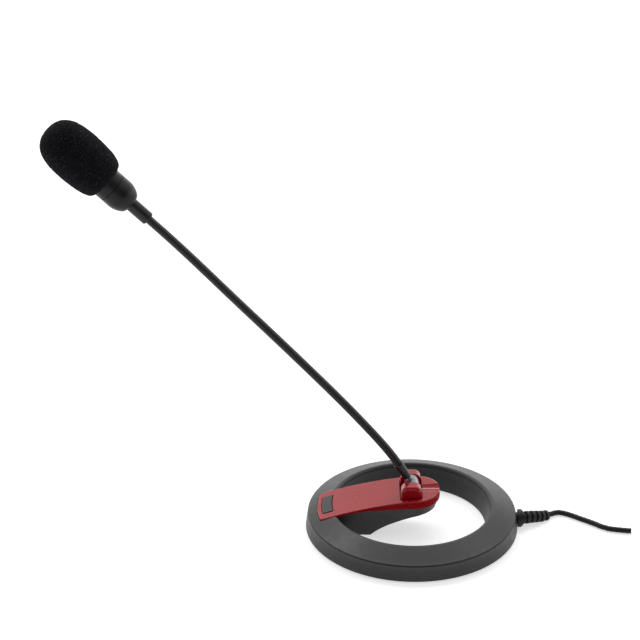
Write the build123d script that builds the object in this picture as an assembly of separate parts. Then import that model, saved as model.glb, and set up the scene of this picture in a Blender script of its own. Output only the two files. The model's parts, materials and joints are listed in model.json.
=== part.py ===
"""Desktop gooseneck microphone on a weighted ring base, modelled as its separate pieces.

Millimetres, +Z up. The origin is the ring's centre on the table. The arm lies along X, from the
ring's -X side to just past the centre; the neck leans towards -X and the cable leaves at +X.
The whole object, apart from the cable, is symmetric about the plane y = 0.
"""

from build123d import *
from math import atan2, cos, radians, sin, sqrt
import os

# ---------------------------------------------------------------- driving dimensions
# ring base
RING_R = 65.0             # outer radius at the table
CREASE_R = 63.8           # outer radius where the wall meets the sloping top
CREASE_Z = 10.3
SEAM_GAP = 0.3            # open joint line between the top cover and the wall
LIP_R = 48.3              # radius of the raised inner lip
LIP_Z = 16.2
HOLE_R = 45.5             # inner radius at the table
FOOT_GAP = 0.5            # the rubber foot lifts the shell this far off the table
FOOT_INNER_R = 58.8       # the rubber foot is one flat ring let into the tray's floor
FOOT_OUTER_R = 62.2
FOOT_SUNK = 0.75
WALL = 2.0
TRAY_FLOOR_Z = FOOT_GAP + WALL
SCREW_CIRCLE_R = 55.5
# arm
ARM_HALF_W = 15.7
ARM_LEFT_R = 58.0         # the arm's left end is concentric with the ring
ARM_TIP_X = 17.0
ARM_CORNER_R = 2.6
ARCH_R = 250.0            # the cover's top is an arch of this radius
ARCH_X = 26.0
ARCH_TOP_Z = 27.6
COVER_T = 1.6
NOSE_ROUND = 0.8          # edge radius of the cover's rim round the nose
CHANNEL_R = 7.5           # round channel along the nose for the folded neck
CHANNEL_HALF_W = 5.3
CASING_HALF_W_TOP = 15.2
CASING_HALF_W_BOTTOM = 11.2
CASING_T = 1.8
# hinge
PIVOT_Z = 29.7
YOKE_X = (-7.3, 5.7)
YOKE_HALF_W = 11.6
YOKE_GAP = 0.3            # clearance of the yoke in the cover's opening
YOKE_BASE_Z = 19.2
YOKE_SHOULDER_Z = 26.9
EAR_TOP_Z = 33.9
EAR_CORNER_R = 4.2
EAR_ROUND = 1.8           # edge radius round each ear's outer face
EAR_LEAN = 0.6            # each side of an ear leans in this much above the cover
SLOT_HALF_W = 5.0
PIN_R = 1.5
BARREL_R = 4.1
RUN = 0.04                # radial running clearance
# neck
NECK_R = 2.38
NECK_CURVE = [            # points that the neck's middle passes through, in X and Z
    (-9.0, 44.3), (-25.4, 66.3), (-43.3, 87.2), (-61.7, 107.5), (-80.3, 127.6),
    (-99.1, 147.6), (-117.8, 167.7), (-136.5, 187.7), (-155.8, 207.2),
]
NECK_LINKS = 13
NECK_STUB = 2.5           # the first and last joints are this far outside their sleeves
DOME_R = 3.0
LEAD_BORE_R = 0.9
# head
HEAD_ANGLE = 44.6         # the head axis rises this steeply towards -X
HEAD_SLEEVE_LEN = 13.8
HEAD_SLEEVE_R = 4.05
HOUSING_R = 9.4
SEAM_S = 28.0             # distances S run along the head axis from the neck's end
COLLAR_END_S = 39.0
GRILLE_END_S = 60.0
FOAM_START_S = 33.5
FOAM_LEN = 44.7
FOAM_OFFSET = 0.5         # the foam sits this much off the head's axis, upwards
# cable
CABLE_R = 1.7
CABLE_EXIT_Z = 5.6
# button
BUTTON_X = -52.2
BUTTON_INNER_R = 49.0
BUTTON_OUTER_R = 55.3
BUTTON_HALF_W = 9.4
BUTTON_GAP = 0.45

os.makedirs("parts", exist_ok=True)


# ---------------------------------------------------------------- small helpers
def lathe(*points):
    """Solid of revolution about Z of a closed outline of (radius, height) points."""
    return revolve(Plane.XZ * make_face(Polyline(*points, close=True)), Axis.Z)


def rod(radius, z_low, z_high, x=0.0, y=0.0):
    """Upright cylinder between two heights."""
    return Pos(x, y, (z_low + z_high) / 2) * Cylinder(radius, z_high - z_low)


def block(x_range, y_range, z_range):
    """Box between pairs of coordinates."""
    low = [min(r) for r in (x_range, y_range, z_range)]
    high = [max(r) for r in (x_range, y_range, z_range)]
    middle = [(a + b) / 2 for a, b in zip(low, high)]
    return Pos(*middle) * Box(*[b - a for a, b in zip(low, high)])


def joined(shapes):
    """One shape from a list of separate or touching shapes."""
    total = shapes[0]
    for shape in shapes[1:]:
        total = total + shape
    return total


def group(shapes):
    """Separate solids kept together as one node."""
    return Compound(children=list(shapes))


def polar(radius, angle):
    """Point on a circle round the origin, angle in degrees."""
    return radius * cos(radians(angle)), radius * sin(radians(angle))


def tube_along(path, radius):
    """Round bar that follows a path."""
    start = path @ 0
    return sweep(Plane(origin=start, z_dir=path % 0) * Circle(radius), path=path)


def screw(head_r, head_h, shank_r, length):
    """Cross-head screw, head down, shank up, with its head's face at height 0."""
    body = rod(head_r, 0, head_h) + rod(shank_r, head_h, head_h + length)
    cross = Box(2.6, 0.6, 1.0) + Box(0.6, 2.6, 1.0)
    return body - cross


def write(name, shape):
    """Write one node's STEP file."""
    shape.label = name
    export_step(shape, f"parts/{name}.step")


# ---------------------------------------------------------------- ring base
BASE_SCREW_ANGLES = [30, 90, 150, 210, 270, 330]
BASE_POST_R = 3.0
BALLAST_Z = (2.7, 7.5)
GROOVE_Z = 14.6           # the lip of the top cover ends here, above the tray's inner wall


def ring_slope_z(radius):
    """Height of the sloping top face at a radius."""
    return CREASE_Z + (CREASE_R - radius) * (LIP_Z - CREASE_Z) / (CREASE_R - LIP_R - 1.6)


def arm_plan(half_w, left_r, tip_x, corner):
    """Plan outline of the arm: an arc at the left, straight sides and a rounded tip."""
    side_x = -sqrt(left_r**2 - half_w**2)
    tip_start = tip_x - half_w * 0.94
    outline = [
        Line((side_x, -half_w), (tip_start, -half_w)),
        EllipticalCenterArc((tip_start, 0), tip_x - tip_start, half_w, start_angle=-90, arc_size=180),
        Line((tip_start, half_w), (side_x, half_w)),
        ThreePointArc((side_x, half_w), (-left_r, 0), (side_x, -half_w)),
    ]
    face = make_face(outline)
    if corner:
        left = face.vertices().sort_by(Axis.X)[:2]
        face = fillet(left, corner)
    return face


def arm_prism(half_w, left_r, tip_x, corner, z_low, z_high):
    """The plan outline of the arm raised between two heights."""
    return Pos(0, 0, z_low) * extrude(arm_plan(half_w, left_r, tip_x, corner), z_high - z_low)


def make_base_top_cover():
    outer_top = (CREASE_R - 0.45, CREASE_Z + SEAM_GAP + 0.28)
    outer_low = (CREASE_R - 0.2, CREASE_Z + SEAM_GAP)
    lip_out = (LIP_R + 1.9, LIP_Z)
    lip_mid = (LIP_R + 0.7, LIP_Z - 0.1)
    shell = lathe(
        outer_top, lip_out, lip_mid, (LIP_R, LIP_Z - 0.9), (LIP_R - 0.1, GROOVE_Z),
        (LIP_R + 1.7, GROOVE_Z), (LIP_R + 2.2, LIP_Z - 2.3), (CREASE_R - 3.4, CREASE_Z - 0.5),
        (CREASE_R - 3.4, CREASE_Z - 2.6), (CREASE_R - 2.4, CREASE_Z - 2.6),
        (CREASE_R - 2.4, CREASE_Z + SEAM_GAP), outer_low,
    )
    posts = []
    for angle in BASE_SCREW_ANGLES:
        x, y = polar(SCREW_CIRCLE_R, angle)
        top = ring_slope_z(SCREW_CIRCLE_R) - 1.5
        posts.append(rod(BASE_POST_R, 2.7, top, x, y) - rod(1.22, 2.0, top - 1.5, x, y))
    window = arm_prism(ARM_HALF_W + 0.25, ARM_LEFT_R + 0.25, -30, 0, 3, 30)
    relief_room = block((59.0, 61.8), (-5.0, 5.0), (0, CABLE_EXIT_Z + 4.4))
    return shell + joined(posts) - window - relief_room


def make_base_tray():
    shell = lathe(
        (RING_R, FOOT_GAP + 0.6), (CREASE_R, CREASE_Z), (CREASE_R - 1.9, CREASE_Z),
        (RING_R - WALL - 0.2, TRAY_FLOOR_Z), (HOLE_R + WALL, TRAY_FLOOR_Z),
        (LIP_R + 1.4, GROOVE_Z - 0.45), (LIP_R - 0.2, GROOVE_Z - 0.45),
        (HOLE_R, FOOT_GAP + 0.4), (HOLE_R + 0.4, FOOT_GAP), (RING_R - 0.6, FOOT_GAP),
    )
    for angle in BASE_SCREW_ANGLES:
        x, y = polar(SCREW_CIRCLE_R, angle)
        shell -= rod(1.35, 0, 5, x, y) + rod(2.6, 0, FOOT_GAP + 1.0, x, y)
    groove_in, groove_out, groove_top = FOOT_INNER_R - 0.1, FOOT_OUTER_R + 0.1, FOOT_GAP + FOOT_SUNK + 0.05
    shell -= lathe((groove_in, -1), (groove_out, -1), (groove_out, groove_top), (groove_in, groove_top))
    for side in (-1, 1):
        post = rod(2.2, TRAY_FLOOR_Z - 0.5, CABLE_EXIT_Z, 55.5, side * 5)
        shell += post - rod(1.02, TRAY_FLOOR_Z, 20, 55.5, side * 5)
    # doorway in the outer wall for the strain relief, and in the inner wall for the arm
    shell -= Pos(63.5, 0, CABLE_EXIT_Z) * Rot(0, 90, 0) * Cylinder(3.65, 8)
    shell -= casing_block(-0.25) & block((-70, -20), (-20, 20), (TRAY_FLOOR_Z + 0.2, 30))
    return shell - tube_along(lead_path, 1.4)


def make_ballast():
    """Two steel half rings, clear of the arm at the left and of the cable at the right."""
    whole = lathe((50.6, BALLAST_Z[0]), (60.2, BALLAST_Z[0]), (60.2, BALLAST_Z[1]), (50.6, BALLAST_Z[1]))
    for angle in BASE_SCREW_ANGLES:
        x, y = polar(SCREW_CIRCLE_R, angle)
        whole -= rod(BASE_POST_R + 0.3, 0, 20, x, y)
    whole -= block((-70, 0), (-17.5, 17.5), (0, 20))
    whole -= block((0, 70), (-10, 10), (0, 20))
    return group(whole.solids())


def make_rubber_foot():
    """Flat non-slip ring that the microphone stands on."""
    top = FOOT_GAP + FOOT_SUNK
    return lathe((FOOT_INNER_R, 0), (FOOT_OUTER_R, 0), (FOOT_OUTER_R, top), (FOOT_INNER_R, top))


def make_base_screws():
    screws = []
    for angle in BASE_SCREW_ANGLES:
        x, y = polar(SCREW_CIRCLE_R, angle)
        screws.append(Pos(x, y, FOOT_GAP + 0.1) * screw(2.3, 0.88, 1.2, 6.5))
    return group(screws)


# ---------------------------------------------------------------- arm casing and cover
ARCH_CENTRE_Z = ARCH_TOP_Z - ARCH_R
COVER_EDGE = [(-58.5, 10.4), (-41.0, 17.1), (-7.0, 21.1), (18.0, 22.4)]
UNDERSIDE = [(-25.5, 0.5), (-16.0, 7.6), (-7.0, 11.8), (3.0, 15.2), (18.0, 16.2)]
ARM_SCREWS = [(-36.0, 6.5, 1.7), (-36.0, -6.5, 1.7), (-14.0, 8.2, 10.0), (-14.0, -8.2, 10.0)]
YOKE_SCREWS = [(-1.0, 8.2, 15.4), (-1.0, -8.2, 15.4)]
COVER_POST_R = 2.3
CASING_BOSS_R = 3.3


def arch_z(x):
    """Height of the cover's arched top at x."""
    return ARCH_CENTRE_Z + sqrt(ARCH_R**2 - (x - ARCH_X) ** 2)


def side_prism(edges):
    """A closed side view, given as edges in X and Z, spread over the arm's whole width."""
    return extrude(Plane.XZ * make_face(edges), 25, both=True)


def under_arch(drop, z_low=-2.0):
    """Everything below the cover's arch, lowered by drop."""
    left, right = -62.0, 22.0
    high_left = (left, arch_z(left) - drop)
    high_mid = (-20.0, arch_z(-20.0) - drop)
    high_right = (right, arch_z(right) - drop)
    return side_prism([
        ThreePointArc(high_left, high_mid, high_right),
        Line(high_right, (right, z_low)),
        Line((right, z_low), (left, z_low)),
        Line((left, z_low), high_left),
    ])


def above_cover_edge(shift):
    """Everything above the joint line between the cover and the casing."""
    line = [(x, z + shift) for x, z in COVER_EDGE]
    return side_prism([
        Spline(*line),
        Line(line[-1], (line[-1][0], 60)),
        Line((line[-1][0], 60), (line[0][0], 60)),
        Line((line[0][0], 60), line[0]),
    ])


def above_underside(shift):
    """Everything above the casing's sweeping underside."""
    sweep_up = [(x, z + shift) for x, z in UNDERSIDE]
    return side_prism([
        Line((-62, FOOT_GAP + shift), sweep_up[0]),
        Spline(*sweep_up),
        Line(sweep_up[-1], (sweep_up[-1][0], 60)),
        Line((sweep_up[-1][0], 60), (-62, 60)),
        Line((-62, 60), (-62, FOOT_GAP + shift)),
    ])


def casing_block(inset):
    """The casing's solid envelope: it narrows downwards, and its tip leans in."""
    top_z, bottom_z = 23.0, FOOT_GAP - 0.5
    top = Pos(0, 0, top_z) * arm_plan(CASING_HALF_W_TOP - inset, 57.4 - inset, ARM_TIP_X - 0.4 - inset, 0)
    bottom = Pos(0, 0, bottom_z) * arm_plan(CASING_HALF_W_BOTTOM - inset, 55.0 - inset, 9.0 - inset, 0)
    return loft([bottom, top], ruled=True) & above_underside(inset)


def make_arm_casing(lead):
    shell = casing_block(0) - above_cover_edge(-0.15)
    shell -= casing_block(CASING_T)
    for x, y, seat in ARM_SCREWS + YOKE_SCREWS:
        boss = rod(CASING_BOSS_R, 0, seat + 2.2, x, y) & casing_block(0)
        shell = shell + boss
    for x, y, seat in YOKE_SCREWS:
        shell += rod(CASING_BOSS_R, seat + 1, YOKE_BASE_Z - 0.05, x, y) & casing_block(0)
    for x, y, seat in ARM_SCREWS + YOKE_SCREWS:
        shell -= rod(2.3, -1, seat, x, y) + rod(1.3, 0, 22, x, y)
    floor_top = TRAY_FLOOR_Z + 0.25
    shell -= lathe((HOLE_R - 0.3, -1), (70, -1), (70, floor_top), (HOLE_R + 0.1, floor_top))
    shell -= tube_along(lead, 1.4) + button_frame * button_prism(1.3, -6, 2)
    shell += casing_block(0) & block((-60, -HOLE_R), (-20, 20), (TRAY_FLOOR_Z + 0.25, TRAY_FLOOR_Z + 1.75))
    for y in BOARD_SCREW_Y:
        stand = button_frame * rod(1.9, -16, BOARD_TOP - 1.05, BOARD_SCREW_X, y)
        shell += stand & casing_block(0) & block((-60, 0), (-20, 20), (TRAY_FLOOR_Z + 0.3, 20))
        shell -= button_frame * rod(0.82, BOARD_TOP - 3.6, 0, BOARD_SCREW_X, y)
    return shell


def make_arm_cover():
    outline = arm_prism(ARM_HALF_W, ARM_LEFT_R, ARM_TIP_X, ARM_CORNER_R, 5, 40)
    plate = outline & under_arch(0) & block((-60, YOKE_X[0] - YOKE_GAP), (-20, 20), (0, 40))
    nose = outline & under_arch(0) & block((YOKE_X[0] - YOKE_GAP, 20), (-20, 20), (0, 40))
    rim = [e for e in nose.edges() if arch_z(e.center().X) - 1.2 < e.center().Z and e.center().X > -7]
    rim = [e for e in rim if abs(e.center().Y) > 1 or e.center().X > 12]
    nose = fillet(rim, NOSE_ROUND)
    ends = [e for e in plate.edges() if e.center().X < -8.5 and e.center().Z > arch_z(e.center().X) - 0.6]
    plate = fillet(ends, 0.6)
    cover = (plate + nose) & above_cover_edge(0)
    inner_r, inner_tip = ARM_LEFT_R - COVER_T, ARM_TIP_X - COVER_T
    inner = arm_prism(ARM_HALF_W - COVER_T, inner_r, inner_tip, ARM_CORNER_R - 1, 0, 40)
    cover -= inner & under_arch(COVER_T)
    # channel that the neck drops into when it is folded to the right
    channel_z = ARCH_TOP_Z + sqrt(CHANNEL_R**2 - CHANNEL_HALF_W**2)
    channel = Pos(12, 0, channel_z) * Rot(0, 90, 0) * Cylinder(CHANNEL_R, 30)
    pad = inner & under_arch(0.3) & block((YOKE_X[1] + YOKE_GAP, 20), (-5.6, 5.6), (22.5, 40))
    cover = cover + pad - channel
    room = YOKE_HALF_W + YOKE_GAP
    cover -= block((YOKE_X[0] - YOKE_GAP, YOKE_X[1] + YOKE_GAP), (-room, room), (0, 40))
    for x, y, seat in ARM_SCREWS:
        post = rod(COVER_POST_R, seat + 2.35, arch_z(x) - 1.0, x, y)
        cover = cover + post - rod(1.22, 0, min(seat + 10, arch_z(x) - 2), x, y)
    cover -= button_frame * button_prism(BUTTON_GAP, -8, 8)
    return cover


def make_arm_screws():
    arm = [Pos(x, y, seat - 0.95) * screw(2.1, 0.88, 1.2, 6.5) for x, y, seat in ARM_SCREWS]
    yoke = [Pos(x, y, seat - 0.95) * screw(2.1, 0.88, 1.2, 6.5) for x, y, seat in YOKE_SCREWS]
    return group(arm + yoke)


# ---------------------------------------------------------------- push button and switch
BUTTON_NORMAL = (BUTTON_X - ARCH_X, 0, arch_z(BUTTON_X) - ARCH_CENTRE_Z)
button_frame = Plane(
    origin=(BUTTON_X, 0, arch_z(BUTTON_X)),
    x_dir=(BUTTON_NORMAL[2], 0, -BUTTON_NORMAL[0]),
    z_dir=BUTTON_NORMAL,
).location
BUTTON_TRAVEL = 1.2
BUTTON_PROUD = 0.35
BOARD_TOP = -8.2          # heights here run along the button's own axis, 0 at the cover's surface
SWITCH_TOP = -4.7
BOARD_SCREW_X = 4.6
BOARD_SCREW_Y = (-5.5, 5.5)


def button_prism(grow, low, high):
    """Sector between two arcs round the ring's centre, in the button's own frame."""
    centre_x = -BUTTON_X
    outer, inner, half = BUTTON_OUTER_R + grow, BUTTON_INNER_R - grow, BUTTON_HALF_W + grow

    def on_arc(radius, y):
        return centre_x - sqrt(radius**2 - y**2), y

    face = make_face([
        ThreePointArc(on_arc(outer, -half), on_arc(outer, 0), on_arc(outer, half)),
        Line(on_arc(outer, half), on_arc(inner, half)),
        ThreePointArc(on_arc(inner, half), on_arc(inner, 0), on_arc(inner, -half)),
        Line(on_arc(inner, -half), on_arc(outer, -half)),
    ])
    face = fillet(face.vertices(), 0.7 + grow)
    return Pos(0, 0, low) * extrude(face, high - low)


def make_push_button():
    cap = button_prism(0, -2.0, BUTTON_PROUD)
    cap = fillet(cap.faces().sort_by(Axis.Z)[-1].edges(), 0.3)
    flange = button_prism(0.9, -2.9, -2.0)
    stem = rod(2.0, -3.35, -2.5)
    return button_frame * (cap + flange + stem)


def make_switch_body():
    body = block((-3, 3), (-3, 3), (BOARD_TOP, SWITCH_TOP))
    return button_frame * (body - rod(1.8, -6.95, 0))


def make_switch_plunger():
    return button_frame * rod(1.72, -5.6, -3.4)


def make_switch_board():
    board = block((-3.2, 7.4), (-8.5, 8.5), (BOARD_TOP - 1.0, BOARD_TOP))
    for y in BOARD_SCREW_Y:
        board -= rod(1.05, -20, 0, BOARD_SCREW_X, y)
    return button_frame * board


def make_board_screws():
    upside_down = Rot(180, 0, 0) * screw(1.5, 0.74, 0.8, 2.2)
    screws = [Pos(BOARD_SCREW_X, y, BOARD_TOP + 0.75) * upside_down for y in BOARD_SCREW_Y]
    return button_frame * group(screws)


# ---------------------------------------------------------------- hinge
NECK_START = NECK_CURVE[0]
SLEEVE_LEAN = atan2(NECK_START[1] - PIVOT_Z, -NECK_START[0])
SLEEVE_END_S = sqrt(NECK_START[0] ** 2 + (NECK_START[1] - PIVOT_Z) ** 2)
sleeve_frame = Plane(
    origin=(0, 0, PIVOT_Z),
    x_dir=(sin(SLEEVE_LEAN), 0, cos(SLEEVE_LEAN)),
    z_dir=(-cos(SLEEVE_LEAN), 0, sin(SLEEVE_LEAN)),
).location
BARREL_HALF_L = 4.4
SHANK_R = 2.0
SHANK_END_S = 10.5


def ear_profile():
    """Side view of the yoke: sides that lean in above the cover and a round-shouldered top."""
    left, right = YOKE_X
    face = make_face(Polyline(
        (left, YOKE_BASE_Z), (left, YOKE_SHOULDER_Z), (left + EAR_LEAN, EAR_TOP_Z),
        (right - EAR_LEAN, EAR_TOP_Z), (right, YOKE_SHOULDER_Z), (right, YOKE_BASE_Z), close=True,
    ))
    return fillet(face.vertices().sort_by(Axis.Y)[-2:], EAR_CORNER_R)


def along_y(radius, y_low, y_high, x=0.0, z=PIVOT_Z):
    """Cylinder along Y between two values of y."""
    return Pos(x, (y_low + y_high) / 2, z) * Rot(90, 0, 0) * Cylinder(radius, y_high - y_low)


def make_hinge_yoke():
    yoke = extrude(Plane.XZ * ear_profile(), YOKE_HALF_W, both=True)
    ends = [e for e in yoke.edges() if abs(e.center().Y) > YOKE_HALF_W - 0.01]
    yoke = fillet([e for e in ends if e.center().Z > YOKE_SHOULDER_Z], EAR_ROUND)
    yoke -= block(YOKE_X, (-SLOT_HALF_W, SLOT_HALF_W), (24.9, 40)) + block(
        (-20, 1.5), (-SLOT_HALF_W, SLOT_HALF_W), (0, 40)
    )
    yoke -= along_y(PIN_R + 0.01, -9.5, 20)
    for x, y, seat in YOKE_SCREWS:
        yoke -= rod(1.22, 0, seat + 8, x, y)
    return yoke


def make_hinge_pin():
    pin = along_y(PIN_R, -9.4, 11.3)
    return pin - Pos(0, 11.3, PIVOT_Z) * Box(2.4, 1.2, 0.6)


def make_friction_washers():
    washers = []
    for side in (-1, 1):
        low, high = sorted((side * (BARREL_HALF_L + 0.05), side * (SLOT_HALF_W - 0.05)))
        washers.append(along_y(3.7, low, high) - along_y(PIN_R + RUN, low - 1, high + 1))
    return group(washers)


def make_neck_knuckle():
    barrel = along_y(BARREL_R, -BARREL_HALF_L, BARREL_HALF_L)
    shank = sleeve_frame * rod(SHANK_R, 0, SHANK_END_S)
    neck = sleeve_frame * lathe((0, 2), (3.6, 2), (2.45, 6.0), (0, 6.0))
    knuckle = barrel + shank + neck
    knuckle -= along_y(PIN_R + RUN, -20, 20)
    knuckle -= sleeve_frame * rod(LEAD_BORE_R, 3.4, 30)
    port = sleeve_frame * (Pos(0, 0, 3.9) * Rot(0, -125, 0) * rod(LEAD_BORE_R, 0, 12))
    return knuckle - port


def make_lower_sleeve():
    end = SLEEVE_END_S
    sleeve = lathe((2.05, 6.3), (2.6, 6.3), (2.95, end - 1.2), (2.95, end - 0.3), (2.7, end), (2.05, end))
    return sleeve_frame * (sleeve - rod(NECK_R + 0.02, SHANK_END_S + 0.1, end + 1))


# ---------------------------------------------------------------- gooseneck
sleeve_dir = Vector(-cos(SLEEVE_LEAN), 0, sin(SLEEVE_LEAN))
head_dir = Vector(-cos(radians(HEAD_ANGLE)), 0, sin(radians(HEAD_ANGLE)))
neck_curve = Spline(*[(x, 0, z) for x, z in NECK_CURVE], tangents=(sleeve_dir, head_dir))
# short stubs line up with the two sleeves; between them the joints lie evenly along the curve
link_length = (neck_curve.length - 2 * NECK_STUB) / (NECK_LINKS - 2)
neck_points = [
    neck_curve @ 0,
    neck_curve @ 0 + sleeve_dir * NECK_STUB,
    *[
        neck_curve.position_at(NECK_STUB + link_length * k, position_mode=PositionMode.LENGTH)
        for k in range(1, NECK_LINKS - 2)
    ],
    neck_curve @ 1 - head_dir * NECK_STUB,
    neck_curve @ 1,
]
head_frame = Plane(origin=neck_points[-1], x_dir=(0, 1, 0), z_dir=head_dir).location


def make_neck_link(k):
    """One short length of the tube: a hollow cup at its foot takes the dome of the one below."""
    foot, top = neck_points[k], neck_points[k + 1]
    length = (top - foot).length
    is_first, is_last = k == 0, k == NECK_LINKS - 1
    low = SHANK_END_S + 0.2 - SLEEVE_END_S if is_first else 0
    high = length + 9.0 if is_last else length + DOME_R
    link = rod(NECK_R, low, high)
    if not is_last:
        link = link & (rod(NECK_R + 1, low - 1, length + 1) + Pos(0, 0, length) * Sphere(DOME_R))
    if not is_first:
        link -= Sphere(DOME_R + 0.05)
    link -= rod(LEAD_BORE_R, low - 1, high + 1)
    return Plane(origin=foot, x_dir=(0, 1, 0), z_dir=top - foot).location * link


# ---------------------------------------------------------------- head
def make_upper_sleeve():
    bore_r, end = NECK_R + 0.2, HEAD_SLEEVE_LEN + 4
    mouth = (bore_r, -0.4), (HEAD_SLEEVE_R - 0.35, -0.4), (HEAD_SLEEVE_R, 0.1)
    return head_frame * lathe(*mouth, (HEAD_SLEEVE_R, end), (bore_r, end))


def make_housing_rear():
    """Bullet-shaped rear shell, bored for the sleeve."""
    start = HEAD_SLEEVE_LEN - 0.6
    dome_end = start + 9.0
    bore_r, mouth_r, seam = HEAD_SLEEVE_R + 0.05, HEAD_SLEEVE_R + 0.8, SEAM_S - 0.25
    outer = Plane.XZ * make_face([
        Line((bore_r, start), (mouth_r, start)),
        Spline((mouth_r, start), (7.8, start + 2.9), (HOUSING_R, dome_end), tangents=((1, 0.25), (0, 1))),
        Line((HOUSING_R, dome_end), (HOUSING_R, seam)),
        Line((HOUSING_R, seam), (bore_r, seam)),
        Line((bore_r, seam), (bore_r, start)),
    ])
    inner = lathe(
        (3.0, HEAD_SLEEVE_LEN + 4.3), (5.8, HEAD_SLEEVE_LEN + 4.3), (7.6, HEAD_SLEEVE_LEN + 7.4),
        (7.6, SEAM_S + 5), (3.0, SEAM_S + 5),
    )
    return head_frame * (revolve(outer, Axis.Z) - inner)


def make_housing_collar():
    """Front ring with a spigot that plugs into the rear shell."""
    collar = lathe(
        (6.4, SEAM_S - 2.6), (7.5, SEAM_S - 2.6), (7.5, SEAM_S), (HOUSING_R - 0.1, SEAM_S),
        (HOUSING_R, SEAM_S + 0.15), (HOUSING_R, COLLAR_END_S - 0.3), (HOUSING_R - 0.3, COLLAR_END_S),
        (6.4, COLLAR_END_S),
    )
    return head_frame * collar


def make_grille():
    """Slotted cage with a domed end, screwed into the collar's mouth."""
    neck_s = COLLAR_END_S + 0.1
    outer = rod(8.6, neck_s, GRILLE_END_S - 8.6) + Pos(0, 0, GRILLE_END_S - 8.6) * Sphere(8.6)
    inner = rod(7.7, neck_s - 1, GRILLE_END_S - 8.6) + Pos(0, 0, GRILLE_END_S - 8.6) * Sphere(7.7)
    keep = rod(20, neck_s, GRILLE_END_S + 5)
    cage = (outer & keep) - inner
    for step in range(10):
        slot = block((0, 20), (-1.1, 1.1), (neck_s + 3, GRILLE_END_S - 9.5))
        cage -= Rot(0, 0, 36 * step) * slot
    for step in range(6):
        cage -= Rot(0, 0, 60 * step + 30) * rod(1.2, GRILLE_END_S - 8, GRILLE_END_S + 2, 4.2)
    cage -= rod(1.2, GRILLE_END_S - 8, GRILLE_END_S + 2)
    thread = lathe(
        (5.2, neck_s - 5.0), (6.35, neck_s - 5.0), (6.35, neck_s),
        (8.6, neck_s), (8.6, neck_s + 1), (5.2, neck_s + 1),
    )
    return head_frame * (cage + thread)


CAPSULE_S = (42.0, 48.7)
CAPSULE_R = 4.85


def make_capsule():
    body = rod(CAPSULE_R, *CAPSULE_S)
    port = rod(1.0, CAPSULE_S[1] - 0.4, CAPSULE_S[1] + 1)
    return head_frame * (body - port)


def make_capsule_boot():
    low, high = CAPSULE_S[0] - 1.4, CAPSULE_S[1] - 0.5
    boot = rod(7.3, low, high) - rod(CAPSULE_R + 0.02, CAPSULE_S[0] - 0.03, high + 1)
    return head_frame * (boot - rod(2.0, low - 1, high))


def make_head_lead():
    path = Line((0, 0, 10.5), (0, 0, CAPSULE_S[0] - 0.1))
    return head_frame * tube_along(path, 0.8)


def cap_arc(radius, edge_z, tip_z):
    """Arc of a sphere centred on the axis, from its rim to its tip on the axis."""
    height = tip_z - edge_z
    sphere_r = (radius**2 + height**2) / (2 * height)
    half_angle = atan2(radius, sphere_r - height) / 2
    middle = (sphere_r * sin(half_angle), tip_z - sphere_r + sphere_r * cos(half_angle))
    return ThreePointArc((radius, edge_z), middle, (0, tip_z))


def make_foam_windscreen():
    """Slightly egg-shaped round cylinder of foam with a blind bore that grips the housing."""
    near, far = FOAM_START_S, FOAM_START_S + FOAM_LEN
    outside = Plane.XZ * make_face([
        Line((0, near), (10.6, near)),
        ThreePointArc((10.6, near), (13.6, near + 2.4), (14.9, near + 7.5)),
        ThreePointArc((14.9, near + 7.5), (15.7, near + 19), (15.5, near + 28)),
        ThreePointArc((15.5, near + 28), (13.9, far - 8.4), (9.6, far - 2.6)),
        cap_arc(9.6, far - 2.6, far),
        Line((0, far), (0, near)),
    ])
    bore_r, dome_s = HOUSING_R + 0.35, COLLAR_END_S + 12
    bore = rod(bore_r, near - 1, dome_s) + Pos(0, 0, dome_s) * Sphere(bore_r)
    return head_frame * (Pos(0, -FOAM_OFFSET, 0) * revolve(outside, Axis.Z) - bore)


# ---------------------------------------------------------------- cable and leads
cable_path = Spline(
    (52, 0, CABLE_EXIT_Z), (66, 0, CABLE_EXIT_Z), (75, 3.2, 4.6), (83, 8.2, 2.4), (91, 13.0, CABLE_R),
    (102, 7.5, CABLE_R), (116, -3.0, CABLE_R), (134, -9.0, CABLE_R), tangents=((1, 0, 0), (1, -0.2, 0)),
)
BOOT_RINGS = 6


def make_cable():
    return tube_along(cable_path, CABLE_R)


def make_strain_relief():
    """Bend relief: a grooved bush in the ring's wall, a flange, and spaced rings on a thin core."""
    bush = Rot(0, 90, 0) * rod(3.6, 61.0, 65.6)
    above_floor = block((59, 62), (-6, 6), (TRAY_FLOOR_Z + 0.1 - CABLE_EXIT_Z, 6))
    bush += Rot(0, 90, 0) * rod(4.3, 59.4, 61.0) & above_floor
    flange = Rot(0, 90, 0) * (rod(5.55, 65.2, 67.4) + rod(4.9, 67.4, 68.2))
    boot = Pos(0, 0, CABLE_EXIT_Z) * (bush + flange)
    wire = Wire([cable_path])
    total = cable_path.length
    first, last = 15.8, 33.5
    core = []
    for step in range(BOOT_RINGS):
        share = step / (BOOT_RINGS - 1)
        at = (first + (last - first) * share) / total
        spot = Plane(origin=cable_path @ at, z_dir=cable_path % at).location
        core.append(spot * Cylinder(4.1 - 0.8 * share, 1.9))
        back = at - 1.8 / total
        waist = Plane(origin=cable_path @ back, z_dir=cable_path % back).location
        core.append(waist * Cylinder(2.7 - 0.2 * share, 2.6))
    boot = boot + joined(core)
    table = block((50, 100), (-30, 30), (-10, 0.05))
    return boot - tube_along(cable_path, CABLE_R + 0.03) - table


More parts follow.
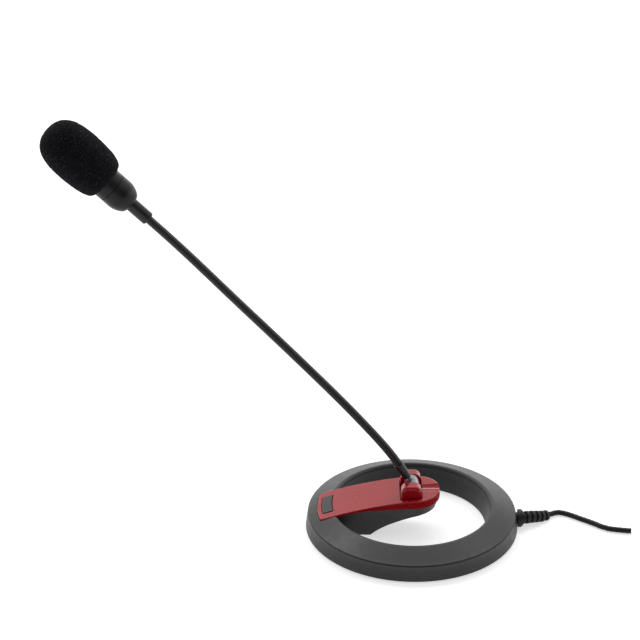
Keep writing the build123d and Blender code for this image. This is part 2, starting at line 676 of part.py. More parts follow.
def make_cable_clamp():
    bar = block((53, 58), (-7.5, 7.5), (CABLE_EXIT_Z + 0.05, CABLE_EXIT_Z + 2.8))
    bar -= Pos(0, 0, CABLE_EXIT_Z) * Rot(0, 90, 0) * rod(CABLE_R + 0.02, 50, 60)
    for side in (-1, 1):
        bar -= rod(1.1, 0, 20, 55.5, side * 5)
    return bar


def make_clamp_screws():
    flip = Rot(180, 0, 0)
    top = CABLE_EXIT_Z + 2.85
    return group([Pos(55.5, side * 5, top + 0.9) * flip * screw(1.9, 0.88, 1.0, 5.0) for side in (-1, 1)])


LEAD_R = 0.8
LEAD_RING_R = 51.2
lead_path = Spline(
    (*polar(LEAD_RING_R, 1.5), 6.0),
    (*polar(LEAD_RING_R, 8), 8.6),
    *[(*polar(LEAD_RING_R, angle), 9.7) for angle in range(16, 156, 12)],
    (-46.0, 15.0, 8.9),
    (-42.0, 10.0, 8.2),
)
arm_lead_path = Spline((-41.5, -3, 8.0), (-30, -2, 6.0), (-16, 0, 13.0), (-5, 0, 18.0))


# ---------------------------------------------------------------- write every node
NODES = {
    "base_tray": make_base_tray,
    "base_top_cover": make_base_top_cover,
    "ballast_weights": make_ballast,
    "rubber_foot": make_rubber_foot,
    "base_screws": make_base_screws,
    "arm_casing": lambda: make_arm_casing(lead_path),
    "arm_cover": make_arm_cover,
    "arm_screws": make_arm_screws,
    "push_button": make_push_button,
    "switch_body": make_switch_body,
    "switch_plunger": make_switch_plunger,
    "switch_board": make_switch_board,
    "board_screws": make_board_screws,
    "hinge_yoke": make_hinge_yoke,
    "hinge_pin": make_hinge_pin,
    "friction_washers": make_friction_washers,
    "neck_knuckle": make_neck_knuckle,
    "lower_sleeve": make_lower_sleeve,
    "upper_sleeve": make_upper_sleeve,
    "housing_rear": make_housing_rear,
    "housing_collar": make_housing_collar,
    "grille": make_grille,
    "capsule": make_capsule,
    "capsule_boot": make_capsule_boot,
    "head_lead": make_head_lead,
    "foam_windscreen": make_foam_windscreen,
    "cable": make_cable,
    "strain_relief": make_strain_relief,
    "cable_clamp": make_cable_clamp,
    "clamp_screws": make_clamp_screws,
    "base_lead": lambda: tube_along(lead_path, LEAD_R),
    "arm_lead": lambda: tube_along(arm_lead_path, LEAD_R),
}

for name, make in NODES.items():
    write(name, make())
for k in range(NECK_LINKS):
    write(f"neck_link_{k + 1:02d}", make_neck_link(k))
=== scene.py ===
"""Looks of the desktop gooseneck microphone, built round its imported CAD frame. Metres, +Z up."""

import json
import math

import bmesh
import bpy
import numpy as np
from mathutils import Matrix, Vector, noise

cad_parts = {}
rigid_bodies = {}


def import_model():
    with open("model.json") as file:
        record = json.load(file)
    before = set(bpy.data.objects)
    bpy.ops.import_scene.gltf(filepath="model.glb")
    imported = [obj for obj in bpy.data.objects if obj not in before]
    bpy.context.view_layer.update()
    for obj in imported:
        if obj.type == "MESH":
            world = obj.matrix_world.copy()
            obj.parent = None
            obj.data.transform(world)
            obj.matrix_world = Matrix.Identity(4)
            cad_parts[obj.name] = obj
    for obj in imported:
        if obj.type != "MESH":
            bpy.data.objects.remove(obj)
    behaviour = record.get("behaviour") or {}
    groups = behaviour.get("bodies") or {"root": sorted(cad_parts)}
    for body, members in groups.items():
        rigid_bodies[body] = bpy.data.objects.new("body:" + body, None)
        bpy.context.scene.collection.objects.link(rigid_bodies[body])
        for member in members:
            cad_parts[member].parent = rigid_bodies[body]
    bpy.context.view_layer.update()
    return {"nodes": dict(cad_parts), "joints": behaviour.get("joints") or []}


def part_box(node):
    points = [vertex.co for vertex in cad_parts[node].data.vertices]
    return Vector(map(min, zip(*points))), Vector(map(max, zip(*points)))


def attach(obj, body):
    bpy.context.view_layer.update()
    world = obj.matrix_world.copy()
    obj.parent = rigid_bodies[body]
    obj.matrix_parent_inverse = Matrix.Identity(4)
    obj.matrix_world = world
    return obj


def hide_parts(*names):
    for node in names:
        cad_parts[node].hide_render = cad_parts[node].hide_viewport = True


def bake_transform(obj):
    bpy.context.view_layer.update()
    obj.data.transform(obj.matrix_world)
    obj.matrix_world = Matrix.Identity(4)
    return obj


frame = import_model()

MM = 0.001
ACROSS = Vector((0, 1, 0))
NODES = frame["nodes"]
JOINTS = {j["name"]: j for j in frame["joints"]}


# ---------------------------------------------------------------- material building blocks
class Shader:
    """A node material with short calls for the nodes used here. Sizes in its textures are in mm."""

    def __init__(self, name):
        self.material = bpy.data.materials.new(name)
        self.material.use_nodes = True
        self.tree = self.material.node_tree
        self.bsdf = self.tree.nodes["Principled BSDF"]
        coordinates = self.node("ShaderNodeTexCoord")
        scale = self.node("ShaderNodeVectorMath", operation="SCALE")
        scale.inputs["Scale"].default_value = 1 / MM
        self.link(coordinates.outputs["Object"], scale.inputs[0])
        self.place = scale.outputs[0]

    def node(self, kind, **settings):
        """A new shader node with these properties."""
        made = self.tree.nodes.new(kind)
        for key, value in settings.items():
            setattr(made, key, value)
        return made

    def link(self, output, target):
        self.tree.links.new(output, target)

    def set(self, **values):
        """Set or link inputs of the main shader, named with underscores for spaces."""
        for key, value in values.items():
            socket = self.bsdf.inputs[key.replace("_", " ")]
            if hasattr(value, "node"):
                self.link(value, socket)
            else:
                socket.default_value = value
        return self

    def noise(self, scale, detail=2.0, roughness=0.5, stretch=None):
        """Cloudy grey pattern; scale is in features per mm."""
        made = self.node("ShaderNodeTexNoise")
        made.inputs["Scale"].default_value = scale
        made.inputs["Detail"].default_value = detail
        made.inputs["Roughness"].default_value = roughness
        self.link(self.stretched(stretch), made.inputs["Vector"])
        return made.outputs["Fac"]

    def cells(self, scale, feature="F1"):
        """Distance from the middles or the edges of scattered cells, scale cells per mm."""
        made = self.node("ShaderNodeTexVoronoi", feature=feature)
        made.inputs["Scale"].default_value = scale
        self.link(self.place, made.inputs["Vector"])
        return made.outputs["Distance"]

    def stretched(self, factors):
        """Texture position with its axes scaled by factors."""
        if factors is None:
            return self.place
        made = self.node("ShaderNodeVectorMath", operation="MULTIPLY")
        made.inputs[1].default_value = factors
        self.link(self.place, made.inputs[0])
        return made.outputs[0]

    def ramp(self, factor, *stops):
        """Colours or grey levels at positions: (position, value) pairs."""
        made = self.node("ShaderNodeValToRGB")
        points = made.color_ramp.elements
        while len(points) < len(stops):
            points.new(0.5)
        for point, (position, value) in zip(points, stops):
            point.position = position
            point.color = (*value, 1.0) if isinstance(value, tuple) else (value, value, value, 1.0)
        self.link(factor, made.inputs["Fac"])
        return made.outputs["Color"]

    def mix(self, factor, a, b, blend="MIX"):
        """Blend of two colours; each of the three inputs is a value or another node's output."""
        made = self.node("ShaderNodeMix", data_type="RGBA", blend_type=blend)
        for value, index in ((factor, 0), (a, 6), (b, 7)):
            socket = made.inputs[index]
            if hasattr(value, "node"):
                self.link(value, socket)
            elif index == 0:
                socket.default_value = value
            else:
                socket.default_value = (*value, 1.0)
        return made.outputs[2]

    def bump(self, height, distance_mm, strength=1.0, before=None):
        """Normals disturbed by a height pattern, on top of the ones before if given."""
        made = self.node("ShaderNodeBump")
        made.inputs["Strength"].default_value = strength
        made.inputs["Distance"].default_value = distance_mm * MM
        self.link(height, made.inputs["Height"])
        if before:
            self.link(before, made.inputs["Normal"])
        return made.outputs["Normal"]

    def rounded(self, radius_mm):
        """Normals that soften the hard edges to a small radius."""
        made = self.node("ShaderNodeBevel", samples=6)
        made.inputs["Radius"].default_value = radius_mm * MM
        return made.outputs[0]

    def edge_wear_and_shade_mask(self, low=0.52, high=0.6):
        """Mask of the convex edges, where handling polishes the surface; its low end marks the concave
        grooves, which the coil paint darkens as painted shade.
        """
        made = self.node("ShaderNodeNewGeometry")
        return self.ramp(made.outputs["Pointiness"], (low, 0.0), (high, 1.0))


def moulded_plastic(name, colour, roughness, grain_mm=0.35, grain=0.02, shine=0.5):
    """Moulded plastic with a fine spark-eroded grain, uneven gloss and slightly rubbed edges."""
    s = Shader(name)
    darker = tuple(0.86 * c for c in colour)
    lighter = tuple(1.18 * c + 0.002 for c in colour)
    patches = s.ramp(s.noise(0.09, 3), (0.3, darker), (0.7, lighter))
    rubbed = tuple(min(1.0, 1.9 * c + 0.004) for c in colour)
    gloss = s.ramp(s.noise(0.35, 4), (0.3, roughness - 0.05), (0.7, roughness + 0.06))
    texture = s.bump(s.noise(1.0 / grain_mm, 2, 0.6), grain, before=s.rounded(0.25))
    s.set(Base_Color=s.mix(s.edge_wear_and_shade_mask(), patches, rubbed), Roughness=gloss, Normal=texture)
    return s.set(Specular_IOR_Level=shine).material


def build_materials():
    """Every material of the microphone, by its finish's name."""
    made = {}
    made["grey"] = grey_plastic()
    made["red"] = red_lacquer()
    made["head"] = moulded_plastic("head_plastic", (0.003, 0.003, 0.0035), 0.3, 0.3, 0.010, 0.3)
    made["sleeve"] = moulded_plastic("sleeve_plastic", (0.002, 0.002, 0.002), 0.28, 0.25, 0.012, 0.45)
    made["rubber"] = moulded_plastic("boot_rubber", (0.006, 0.006, 0.007), 0.5, 0.3, 0.02, 0.4)
    made["foot"] = moulded_plastic("foot_rubber", (0.02, 0.02, 0.02), 0.8, 0.4, 0.03)
    made["nylon"] = moulded_plastic("washer_nylon", (0.62, 0.61, 0.58), 0.45)
    made["black_plastic"] = moulded_plastic("switch_plastic", (0.02, 0.02, 0.021), 0.5)
    made["board"] = moulded_plastic("board_green", (0.01, 0.11, 0.04), 0.35)
    made["steel"] = brushed_metal("screw_steel", (0.32, 0.32, 0.33), 0.32)
    made["hinge"] = brushed_metal("hinge_metal", (0.30, 0.30, 0.31), 0.24)
    made["ballast"] = brushed_metal("ballast_steel", (0.42, 0.42, 0.43), 0.4)
    made["capsule"] = brushed_metal("capsule_metal", (0.68, 0.68, 0.67), 0.3)
    made["neck"] = coil_paint()
    made["cable"] = cable_jacket("cable_braid")
    made["foam"] = foam_material()
    return made


def grey_plastic():
    """Satin charcoal plastic of the ring: fine grain, faint flow marks and rubbed edges."""
    s = Shader("grey_plastic")
    patches = s.ramp(s.noise(0.06, 3), (0.3, (0.009, 0.008, 0.010)), (0.7, (0.014, 0.013, 0.015)))
    rubbed = s.mix(s.edge_wear_and_shade_mask(0.53, 0.62), patches, (0.045, 0.044, 0.047))
    gloss = s.ramp(s.noise(0.25, 4), (0.3, 0.36), (0.7, 0.44))
    grain = s.bump(s.noise(3.2, 2, 0.6), 0.012, before=s.rounded(0.4))
    return s.set(Base_Color=rubbed, Roughness=gloss, Normal=grain, Specular_IOR_Level=0.56).material


def red_lacquer():
    """Deep red pearl paint under a clear coat, with tiny flakes and an orange-peel ripple."""
    s = Shader("red_lacquer")
    drift = s.ramp(s.noise(0.05, 2), (0.3, (0.34, 0.002, 0.006)), (0.7, (0.39, 0.003, 0.008)))
    flakes = s.ramp(s.cells(4.0), (0.0, (0.03, 0.002, 0.003)), (0.16, (0.0, 0.0, 0.0)))
    ripple = s.bump(s.noise(0.35, 1), 0.002, before=s.rounded(0.35))
    gloss = s.ramp(s.noise(0.4, 3), (0.3, 0.22), (0.7, 0.3))
    s.set(Base_Color=s.mix(0.6, drift, flakes, "ADD"), Roughness=gloss, Normal=ripple)
    s.set(Specular_IOR_Level=0.12, Coat_Weight=1.0, Coat_Roughness=0.06, Coat_IOR=1.4)
    return s.material


def brushed_metal(name, colour, roughness):
    """Turned or rolled metal with fine lines and dull spots."""
    s = Shader(name)
    lines = s.noise(6.0, 3, 0.6, stretch=(0.08, 1.0, 1.0))
    tint = s.ramp(s.noise(0.4, 3), (0.3, tuple(0.8 * c for c in colour)), (0.7, colour))
    gloss = s.ramp(lines, (0.3, roughness - 0.07), (0.7, roughness + 0.1))
    return s.set(Base_Color=tint, Metallic=1.0, Roughness=gloss, Normal=s.bump(lines, 0.008)).material


def coil_paint():
    """Black satin paint over the gooseneck's coil: bare and brighter on each ridge, with painted shade that
    dulls the reflection in the grooves.
    """
    s = Shader("coil_paint")
    tint = s.ramp(s.noise(2.0, 3), (0.3, (0.002, 0.002, 0.002)), (0.7, (0.005, 0.005, 0.005)))
    worn = s.mix(s.edge_wear_and_shade_mask(0.55, 0.7), tint, (0.012, 0.012, 0.012))
    gloss = s.ramp(s.noise(3.0, 3), (0.3, 0.18), (0.7, 0.3))
    # reflection turned down in the concave grooves of the coil: painted shade
    s.set(Specular_IOR_Level=s.ramp(s.edge_wear_and_shade_mask(0.44, 0.54), (0.0, 0.05), (1.0, 0.6)))
    return s.set(Base_Color=worn, Roughness=gloss, Normal=s.bump(s.noise(8.0, 2), 0.008)).material


def cable_jacket(name):
    """Black thermoplastic jacket, unevenly worn and dusty from handling."""
    s = Shader(name)
    tint = s.ramp(s.noise(1.4, 4), (0.35, (0.004, 0.004, 0.0045)), (0.7, (0.014, 0.014, 0.015)))
    gloss = s.ramp(s.noise(2.0, 3), (0.3, 0.38), (0.7, 0.55))
    s.set(Base_Color=tint, Roughness=gloss, Normal=s.bump(s.noise(5.0, 3), 0.02))
    return s.set(Specular_IOR_Level=0.28).material


def foam_material():
    """Open-cell black foam: painted shade in the pores between thin struts, and painted highlights on a few
    of the struts.
    """
    s = Shader("open_cell_foam")
    pores = s.cells(1.9, "DISTANCE_TO_EDGE")
    fine = s.cells(4.5, "DISTANCE_TO_EDGE")
    # colour darker towards each pore's middle: painted shade in the holes
    struts = s.ramp(pores, (0.0, (0.007, 0.0065, 0.009)), (0.16, (0.0012, 0.001, 0.002)))
    # light dots on the fine struts in scattered patches: painted highlights
    glint_patches = s.ramp(s.noise(0.9, 4, 0.75), (0.52, (0.0, 0.0, 0.0)), (0.68, (1.0, 1.0, 1.0)))
    painted_glints = s.mix(1.0, s.ramp(fine, (0.0, (0.1, 0.1, 0.115)), (0.12, (0.0, 0.0, 0.0))), glint_patches, "MULTIPLY")
    colour = s.mix(1.0, struts, painted_glints, "ADD")
    relief = s.bump(fine, 0.15, 0.8, before=s.bump(pores, 0.4, 0.9))
    s.set(Base_Color=colour, Roughness=0.95, Normal=relief, Specular_IOR_Level=0.08)
    return s.set(Sheen_Weight=0.02, Sheen_Roughness=0.6).material


# ---------------------------------------------------------------- mesh helpers
def mesh_object(name, points, faces):
    """A smooth-shaded mesh object in the scene."""
    mesh = bpy.data.meshes.new(name)
    mesh.from_pydata([tuple(p) for p in points], [], faces)
    mesh.validate()
    made = bpy.data.objects.new(name, mesh)
    bpy.context.scene.collection.objects.link(made)
    mesh.polygons.foreach_set("use_smooth", [True] * len(mesh.polygons))
    return made


def grid_faces(rows, columns, wrap_rows=False):
    """Quads of a grid whose columns close round; the rows close too if asked."""
    faces = []
    for i in range(rows if wrap_rows else rows - 1):
        for j in range(columns):
            k, n = (j + 1) % columns, (i + 1) % rows
            faces.append((i * columns + j, i * columns + k, n * columns + k, n * columns + j))
    return faces


def axis_frame(origin, axis, side=ACROSS):
    """Matrix whose Z runs along axis from origin, with X as near to side as it can be."""
    z = Vector(axis).normalized()
    x = (side - z * side.dot(z)).normalized()
    y = z.cross(x)
    turn = Matrix((x, y, z)).transposed().to_4x4()
    return Matrix.Translation(origin) @ turn


SPLINE_SHARES = 60        # points worked out on each span of a spline before it is measured


def smooth_path(points, step):
    """Points every step along a natural cubic spline through the given ones, and their lengths."""
    knots = np.array(points, float)
    gaps = np.linalg.norm(np.diff(knots, axis=0), axis=1)[:, None]
    system, right = np.eye(len(knots)), np.zeros((len(knots), 3))
    for k in range(1, len(knots) - 1):
        before, after = gaps[k - 1, 0], gaps[k, 0]
        system[k, k - 1:k + 2] = before, 2 * (before + after), after
        right[k] = 6 * ((knots[k + 1] - knots[k]) / after - (knots[k] - knots[k - 1]) / before)
    bend = np.linalg.solve(system, right)
    share = np.linspace(0.0, 1.0, SPLINE_SHARES, endpoint=False)[:, None]
    pieces = []
    for k, gap in enumerate(gaps):
        a, b = 1 - share, share
        straight = a * knots[k] + b * knots[k + 1]
        curved = ((a**3 - a) * bend[k] + (b**3 - b) * bend[k + 1]) * gap**2 / 6
        pieces.append(straight + curved)
    dense = np.vstack([*pieces, knots[-1:]])
    lengths = np.concatenate([[0.0], np.cumsum(np.linalg.norm(np.diff(dense, axis=0), axis=1))])
    wanted = np.linspace(0.0, lengths[-1], max(2, round(lengths[-1] / step) + 1))
    columns = [np.interp(wanted, lengths, dense[:, i]) for i in range(3)]
    return [Vector(p) for p in zip(*columns)], wanted


def path_frames(path, side):
    """Two unit vectors across the path at each of its points, without twist."""
    frames = []
    for k, _ in enumerate(path):
        along = (path[min(k + 1, len(path) - 1)] - path[max(k - 1, 0)]).normalized()
        side = (side - along * side.dot(along)).normalized()
        frames.append((side, along.cross(side)))
    return frames


def wound_tube(name, path, lengths, side, radius_at, around):
    """Tube along a path whose radius is given by radius_at(length along, angle round)."""
    frames = path_frames(path, side)
    points = []
    for centre, length, (u, v) in zip(path, lengths, frames):
        for k in range(around):
            angle = 2 * math.pi * k / around
            r = radius_at(length, angle)
            points.append(centre + r * (math.cos(angle) * u + math.sin(angle) * v))
    faces = grid_faces(len(path), around)
    return mesh_object(name, points, faces)


def reach_along(name, origin, axis):
    """Nearest and furthest distance of a CAD node's surface along an axis from a point."""
    distances = [(v.co - origin).dot(axis) for v in NODES[name].data.vertices]
    return min(distances), max(distances)


def node_along(name, axis):
    """A round CAD node's middle across an axis, and the distances along it where it starts and ends."""
    co = np.array([v.co for v in NODES[name].data.vertices], float)
    along = co @ np.array(axis)
    across = co - np.outer(along, np.array(axis))
    return Vector((across.min(0) + across.max(0)) / 2), along.min(), along.max()


FULL_RING = 7             # fewer points than this don't show where a tube's middle is


def node_centreline(name, count):
    """Middle of a CAD tube at even steps along X, its lengthwise direction."""
    co = np.array([v.co for v in NODES[name].data.vertices], float)
    low, high = co[:, 0].min(), co[:, 0].max()
    edges = np.linspace(low, high, count + 1)
    middle = []
    for a, b in zip(edges, edges[1:]):
        ring = co[(co[:, 0] >= a) & (co[:, 0] <= b)]
        if len(ring) >= FULL_RING:
            middle.append(Vector((ring.min(0) + ring.max(0)) / 2))
    return middle


# ---------------------------------------------------------------- gooseneck
NECK_R = 2.62 * MM
COIL_PITCH = 1.2 * MM
COIL_DEPTH = 0.42 * MM
NECK_STEP = COIL_PITCH / 8
NECK_COLUMNS = 28
NECK_TUCK = 3.0 * MM      # the coil runs this far into the sleeve at each end
CHILD_FIRST = {"neck_bend_07"}    # bodies and ends listed from child to parent: the other order tears at its limit


def neck_axis():
    """The neck's joints in order, and its knots: both sleeves' mouths with the joints between."""
    chain = [j for j in frame["joints"] if j["name"].startswith(("neck_bend", "neck_sway"))]
    centres = [Vector(j["pos_m"]) for j in chain]
    pivot = Vector(JOINTS["neck_tilt"]["pos_m"])
    foot_axis = (centres[0] - pivot).normalized()
    head_axis = Vector(JOINTS["windscreen_pull"]["axis"]).normalized()
    foot = pivot + foot_axis * reach_along("lower_sleeve", pivot, foot_axis)[1]
    tip = centres[-1] + head_axis * reach_along("upper_sleeve", centres[-1], head_axis)[0]
    return chain, [foot, *centres, tip]


def coil_radius(length, angle):
    """Round ridges of a single wire wound round the neck."""
    phase = (length / COIL_PITCH - angle / (2 * math.pi)) % 1.0
    ridge = math.sqrt(max(0.0, 1.0 - (2 * phase - 1.0) ** 2))
    return NECK_R - COIL_DEPTH * (1.0 - ridge)


def make_neck(material):
    """Coiled skin in one piece per joint, each reaching from one link's middle to the next's."""
    chain, knots = neck_axis()
    start_dir = (knots[0] - knots[1]).normalized()
    end_dir = (knots[-1] - knots[-2]).normalized()
    through = [knots[0] + start_dir * NECK_TUCK, *knots[1:-1], knots[-1] + end_dir * NECK_TUCK]
    path, lengths = smooth_path(through, NECK_STEP)
    middles = [(a + b) / 2 for a, b in zip(knots[1:], knots[2:-1])]
    nearest = [min(range(len(path)), key=lambda k: (path[k] - middle).length) for middle in middles]
    cuts = [0, *nearest, len(path) - 1]
    bends = [knots[0], *middles, knots[-1]]
    for k, joint in enumerate(chain):
        part = slice(cuts[k], cuts[k + 1] + 1)
        name = f"neck_coil_{k + 1:02d}"
        piece = wound_tube(name, path[part], lengths[part], ACROSS, coil_radius, NECK_COLUMNS)
        piece.data.materials.append(material)
        links = [f"neck_link_{k + 1:02d}"]
        if k == len(chain) - 1:
            links.append(f"neck_link_{k + 2:02d}")
        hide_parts(*links)
        bodies, ends = [joint["parent"], joint["child"]], [bends[k], bends[k + 1]]
        if joint["name"] in CHILD_FIRST:
            bodies.reverse()
            ends.reverse()
        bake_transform(piece)


# ---------------------------------------------------------------- foam windscreen
FOAM_COLUMNS = 220
FOAM_DRAWN_LENGTH = 44.7 * MM     # its outline is drawn at this length, then stretched to the CAD one
FOAM_BORE_DEPTH = 26 * MM
FOAM_BORE_DOME = 8 * MM
FOAM_ROUGHNESS = 0.16 * MM


def foam_profile(length, bore):
    """Radius and distance along the head of the windscreen's outside, from the bore's lip to the tip."""
    lip, step = 0.4 * MM, 0.4 * MM
    outside = [
        (10.4, 0.0), (11.9, 0.5), (13.25, 2.5), (14.5, 6.5), (15.2, 11.5), (15.6, 16.5), (15.7, 21.5),
        (15.55, 26.5), (14.9, 31.5), (13.5, 36.3), (10.9, 40.6), (7.2, 43.3), (3.4, 44.45), (0.0, 44.7),
    ]
    knots = [Vector((r * MM, s * MM / FOAM_DRAWN_LENGTH * length, 0)) for r, s in outside]
    curve, _ = smooth_path([Vector((bore, lip, 0)), *knots], step)
    return [(p.x, p.y) for p in curve]


def make_foam(material):
    """Foam windscreen, a closed solid of revolution; its bore lies on the housing's own axis."""
    axis = Vector(JOINTS["windscreen_pull"]["axis"]).normalized()
    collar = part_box("housing_collar")
    bore = (collar[1].y - collar[0].y) / 2 + 0.35 * MM
    middle, start, end = node_along("foam_windscreen", axis)
    housing_middle, _, _ = node_along("housing_collar", axis)
    place = axis_frame(middle + axis * start, axis)
    bore_place = axis_frame(housing_middle + axis * start, axis)
    profile = foam_profile(end - start, bore)
    inner = [(0.0, FOAM_BORE_DEPTH), (0.7 * bore, FOAM_BORE_DEPTH - 2.5 * MM)]
    inner += [(bore, FOAM_BORE_DEPTH - FOAM_BORE_DOME), (bore, 3 * MM)]
    section = inner + profile
    points = []
    for row, (r, s) in enumerate(section[1:-1]):
        row_place = bore_place if row < len(inner) else place
        for k in range(FOAM_COLUMNS):
            angle = 2 * math.pi * k / FOAM_COLUMNS
            points.append(row_place @ Vector((r * math.cos(angle), r * math.sin(angle), s)))
    rows = len(section) - 2
    faces = grid_faces(rows, FOAM_COLUMNS)
    for row, (_, distance) in ((0, section[0]), (rows - 1, section[-1])):
        tip = len(points)
        points.append(place @ Vector((0, 0, distance)))
        for k in range(FOAM_COLUMNS):
            a, b = row * FOAM_COLUMNS + k, row * FOAM_COLUMNS + (k + 1) % FOAM_COLUMNS
            faces.append((tip, b, a) if row == 0 else (a, b, tip))
    piece = mesh_object("foam_windscreen_cover", points, faces)
    roughen(piece, FOAM_ROUGHNESS)
    piece.data.materials.append(material)
    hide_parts("foam_windscreen")
    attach(piece, "windscreen")


def roughen(piece, depth):
    """Small uneven lumps and pits all over a mesh, along its normals."""
    normals = [v.normal.copy() for v in piece.data.vertices]
    for v, n in zip(piece.data.vertices, normals):
        p = v.co / MM
        lumps = noise.noise(p * 0.22) * 0.9 + noise.noise(p * 0.9 + Vector((7, 3, 1))) * 0.8
        pits = min(0.0, noise.noise(p * 1.7 + Vector((1, 5, 9))) + 0.1) * 1.6
        v.co += n * depth * (lumps + pits)


# ---------------------------------------------------------------- cable
CABLE_R = 1.68 * MM
CABLE_SLICES = 34
CABLE_STEP = 0.35 * MM
CABLE_COLUMNS = 30
TWIST_PITCH = 9.0 * MM
GRAIN_PITCH = 0.9 * MM


def jacket_radius(length, angle):
    """Three cores twisted under the jacket, with a fine grain on it."""
    twist = math.cos(3 * (angle - 2 * math.pi * length / TWIST_PITCH))
    grain = math.cos(2 * math.pi * length / GRAIN_PITCH) * math.cos(6 * angle)
    return CABLE_R * (0.965 + 0.03 * twist + 0.012 * grain)


def make_cable(material):
    """Twisted jacket along the CAD cable's own centreline."""
    centre = node_centreline("cable", CABLE_SLICES)
    low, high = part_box("cable")
    centre[0].x = low.x
    centre[-1].x = high.x
    path, lengths = smooth_path(centre, CABLE_STEP)
    piece = wound_tube("cable_jacket", path, lengths, ACROSS, jacket_radius, CABLE_COLUMNS)
    cap_ends(piece, CABLE_COLUMNS)
    piece.data.materials.append(material)
    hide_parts("cable")
    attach(piece, "base")


def cap_ends(piece, around):
    """Close both open ends of a tube with one face each."""
    mesh = bmesh.new()
    mesh.from_mesh(piece.data)
    mesh.verts.ensure_lookup_table()
    mesh.faces.new([mesh.verts[k] for k in range(around)][::-1])
    total = len(mesh.verts)
    mesh.faces.new([mesh.verts[k] for k in range(total - around, total)])
    mesh.to_mesh(piece.data)
    mesh.free()


# ---------------------------------------------------------------- sleeve on the hinge
SLEEVE_START = 6.3 * MM   # distances along the sleeve are from the hinge's pivot
SLEEVE_BORE_R = 2.05 * MM
SLEEVE_FOOT_R = 2.56 * MM
SLEEVE_WIDENING = 0.33 * MM
SLEEVE_RIM_R = 2.95 * MM
SLEEVE_MOUTH_R = 2.42 * MM
SLEEVE_COLUMNS = 56
RIBS = 9
ROWS_PER_RIB = 8
RIB_HEIGHT = 0.045 * MM


def sleeve_profile(end):
    """Loop of (radius, distance) round the sleeve's section: foot, shallow ribs, rim and bore."""
    profile = [(SLEEVE_BORE_R, SLEEVE_START), (2.55 * MM, SLEEVE_START)]
    ribbed_length = end - SLEEVE_START - 2.2 * MM
    for k in range(RIBS * ROWS_PER_RIB + 1):
        share = k / (RIBS * ROWS_PER_RIB)
        swell = RIB_HEIGHT * abs(math.sin(math.pi * RIBS * share))
        distance = SLEEVE_START + 0.3 * MM + ribbed_length * share
        profile.append((SLEEVE_FOOT_R + SLEEVE_WIDENING * share + swell, distance))
    profile += [(2.92 * MM, end - 1.7 * MM), (SLEEVE_RIM_R, end - 1.5 * MM), (SLEEVE_RIM_R, end - 0.25 * MM)]
    profile += [(2.75 * MM, end), (SLEEVE_MOUTH_R, end), (SLEEVE_MOUTH_R, end - 1 * MM)]
    return [*profile, (SLEEVE_BORE_R, end - 2 * MM)]


def make_lower_sleeve(material):
    """Ribbed sleeve that grips the neck above the hinge."""
    pivot = Vector(JOINTS["neck_tilt"]["pos_m"])
    _, knots = neck_axis()
    axis = (knots[0] - pivot).normalized()
    profile = sleeve_profile((knots[0] - pivot).length)
    piece = turned("lower_sleeve_ribbed", profile, axis_frame(pivot, axis), SLEEVE_COLUMNS)
    piece.data.materials.append(material)
    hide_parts("lower_sleeve")
    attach(piece, "neck_base")


def turned(name, profile, place, around):
    """Closed ring of revolution from a loop of (radius, distance) points."""
    points = []
    for r, s in profile:
        for k in range(around):
            angle = 2 * math.pi * k / around
            points.append(place @ Vector((r * math.cos(angle), r * math.sin(angle), s)))
    return mesh_object(name, points, grid_faces(len(profile), around, wrap_rows=True))


# ---------------------------------------------------------------- carried-over CAD nodes
FINISHES = {
    "grey": ["base_tray", "base_top_cover", "arm_casing", "push_button"],
    "red": ["arm_cover", "hinge_yoke"],
    "ballast": ["ballast_weights"],
    "foot": ["rubber_foot"],
    "steel": ["base_screws", "arm_screws", "board_screws", "clamp_screws"],
    "hinge": ["hinge_pin", "neck_knuckle"],
    "nylon": ["friction_washers"],
    "sleeve": ["upper_sleeve", "lower_sleeve"],
    "head": ["housing_rear", "housing_collar", "grille"],
    "capsule": ["capsule"],
    "rubber": ["capsule_boot", "strain_relief"],
    "cable": ["head_lead", "base_lead", "arm_lead", "cable"],
    "black_plastic": ["cable_clamp", "switch_body", "switch_plunger"],
    "board": ["switch_board"],
    "foam": ["foam_windscreen"],
}


SHARP_FROM = math.radians(32)


def dress_cad_nodes(materials):
    """Give each carried-over node its finish and smooth shading that stops at its edges."""
    for finish, names in FINISHES.items():
        for name in names:
            node = NODES[name]
            node.data.materials.clear()
            node.data.materials.append(materials[finish])
    for name, node in NODES.items():
        if name.startswith("neck_link"):
            node.data.materials.clear()
            node.data.materials.append(materials["neck"])
        node.data.polygons.foreach_set("use_smooth", [True] * len(node.data.polygons))
        node.data.set_sharp_from_angle(angle=SHARP_FROM)


# ---------------------------------------------------------------- stage
FLOOR_SIZE = 12
FLOOR_GLOW_SEEN = 0.58    # how strongly the floor glows to the camera, and to everything else
FLOOR_GLOW_CAST = 0.36


def make_stage():
    """Plain pale floor under the rubber foot, glowing enough to read as white paper."""
    floor_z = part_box("rubber_foot")[0].z
    bpy.ops.mesh.primitive_plane_add(size=FLOOR_SIZE, location=(0, 2, floor_z))
    floor = bpy.context.object
    floor.name = "floor"
    s = Shader("pale_floor")
    s.set(Base_Color=(0.7, 0.7, 0.7, 1.0), Roughness=0.9, Specular_IOR_Level=0.1)
    seen = s.node("ShaderNodeLightPath").outputs["Is Camera Ray"]
    glow = s.ramp(seen, (0.0, FLOOR_GLOW_CAST), (1.0, FLOOR_GLOW_SEEN))
    s.set(Emission_Color=(1.0, 1.0, 1.0, 1.0), Emission_Strength=glow)
    floor.data.materials.append(s.material)


# light falls off along an axis of the sky: axis, from, to, and the levels at those two
SKY_FALLS = [
    ("Y", -0.8, 0.1, 0.1, 1.0),
    ("Z", 0.5, 0.8, 0.92, 0.7),
    ("Z", 0.12, 0.4, 1.9, 1.0),
]


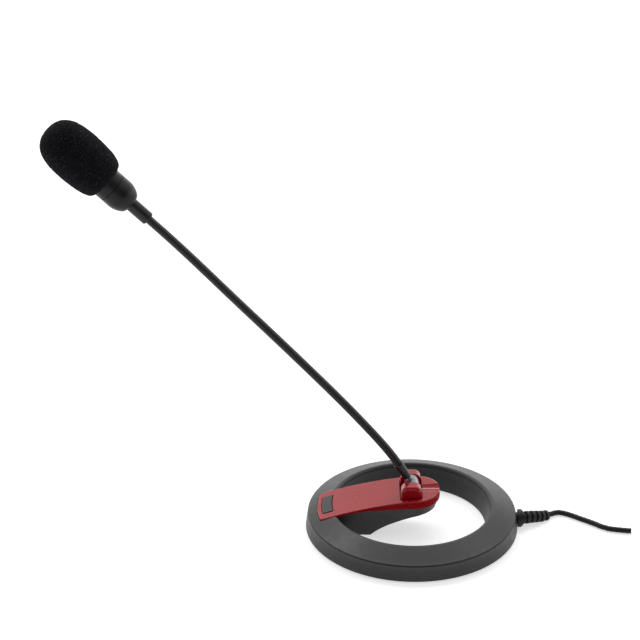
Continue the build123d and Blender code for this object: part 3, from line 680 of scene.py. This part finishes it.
def make_world():
    """A light tent: brightest low behind the object, softer overhead, dark on the camera's side."""
    world = bpy.data.worlds.new("studio")
    bpy.context.scene.world = world
    world.use_nodes = True
    nodes, links = world.node_tree.nodes, world.node_tree.links
    direction = nodes.new("ShaderNodeTexCoord")
    parts = nodes.new("ShaderNodeSeparateXYZ")
    links.new(direction.outputs["Generated"], parts.inputs[0])
    levels = []
    for axis, low, high, from_level, to_level in SKY_FALLS:
        ramp = nodes.new("ShaderNodeMapRange")
        ramp.interpolation_type = "SMOOTHSTEP"
        ramp.inputs["From Min"].default_value = low
        ramp.inputs["From Max"].default_value = high
        ramp.inputs["To Min"].default_value = from_level
        ramp.inputs["To Max"].default_value = to_level
        links.new(parts.outputs[axis], ramp.inputs["Value"])
        levels.append(ramp.outputs[0])
    strength = levels[0]
    for level in levels[1:]:
        product = nodes.new("ShaderNodeMath")
        product.operation = "MULTIPLY"
        links.new(strength, product.inputs[0])
        links.new(level, product.inputs[1])
        strength = product.outputs[0]
    background = nodes["Background"]
    background.inputs["Color"].default_value = (1, 1, 1, 1)
    links.new(strength, background.inputs["Strength"])


LAMP_LENGTH = 1.8
LAMP_WIDTH = 0.35
LAMP_POWER = 11.0
LAMP_PLACE = (-0.1, 0.85, 1.4)


def make_lights():
    """One long soft strip overhead, behind the object, that draws thin highlights along the edges."""
    data = bpy.data.lights.new("top_light", "AREA")
    data.shape = "RECTANGLE"
    data.size = LAMP_LENGTH
    data.size_y = LAMP_WIDTH
    data.energy = LAMP_POWER
    lamp = bpy.data.objects.new("top_light", data)
    lamp.location = LAMP_PLACE
    lamp.rotation_euler = (-lamp.location).to_track_quat("-Z", "Y").to_euler()
    bpy.context.scene.collection.objects.link(lamp)


CAMERA_PLACE = (-0.056, -1.2661, 0.7743)
CAMERA_DOWN = math.radians(26.56)
LENS = 135.0
SENSOR_WIDTH = 36.0
SHIFT_X = -0.0008
SHIFT_Y = 0.0008


def make_camera():
    """Long lens in front of the object, looking down at it."""
    data = bpy.data.cameras.new("camera")
    data.lens = LENS
    data.sensor_width = SENSOR_WIDTH
    data.shift_x = SHIFT_X
    data.shift_y = SHIFT_Y
    camera = bpy.data.objects.new("camera", data)
    camera.location = CAMERA_PLACE
    camera.rotation_euler = (math.pi / 2 - CAMERA_DOWN, 0, 0)
    bpy.context.scene.collection.objects.link(camera)
    bpy.context.scene.camera = camera
    bpy.context.scene.view_settings.view_transform = "Standard"


# ---------------------------------------------------------------- build
materials = build_materials()
dress_cad_nodes(materials)
make_neck(materials["neck"])
make_foam(materials["foam"])
make_cable(materials["cable"])
make_lower_sleeve(materials["sleeve"])
make_stage()
make_world()
make_lights()
make_camera()
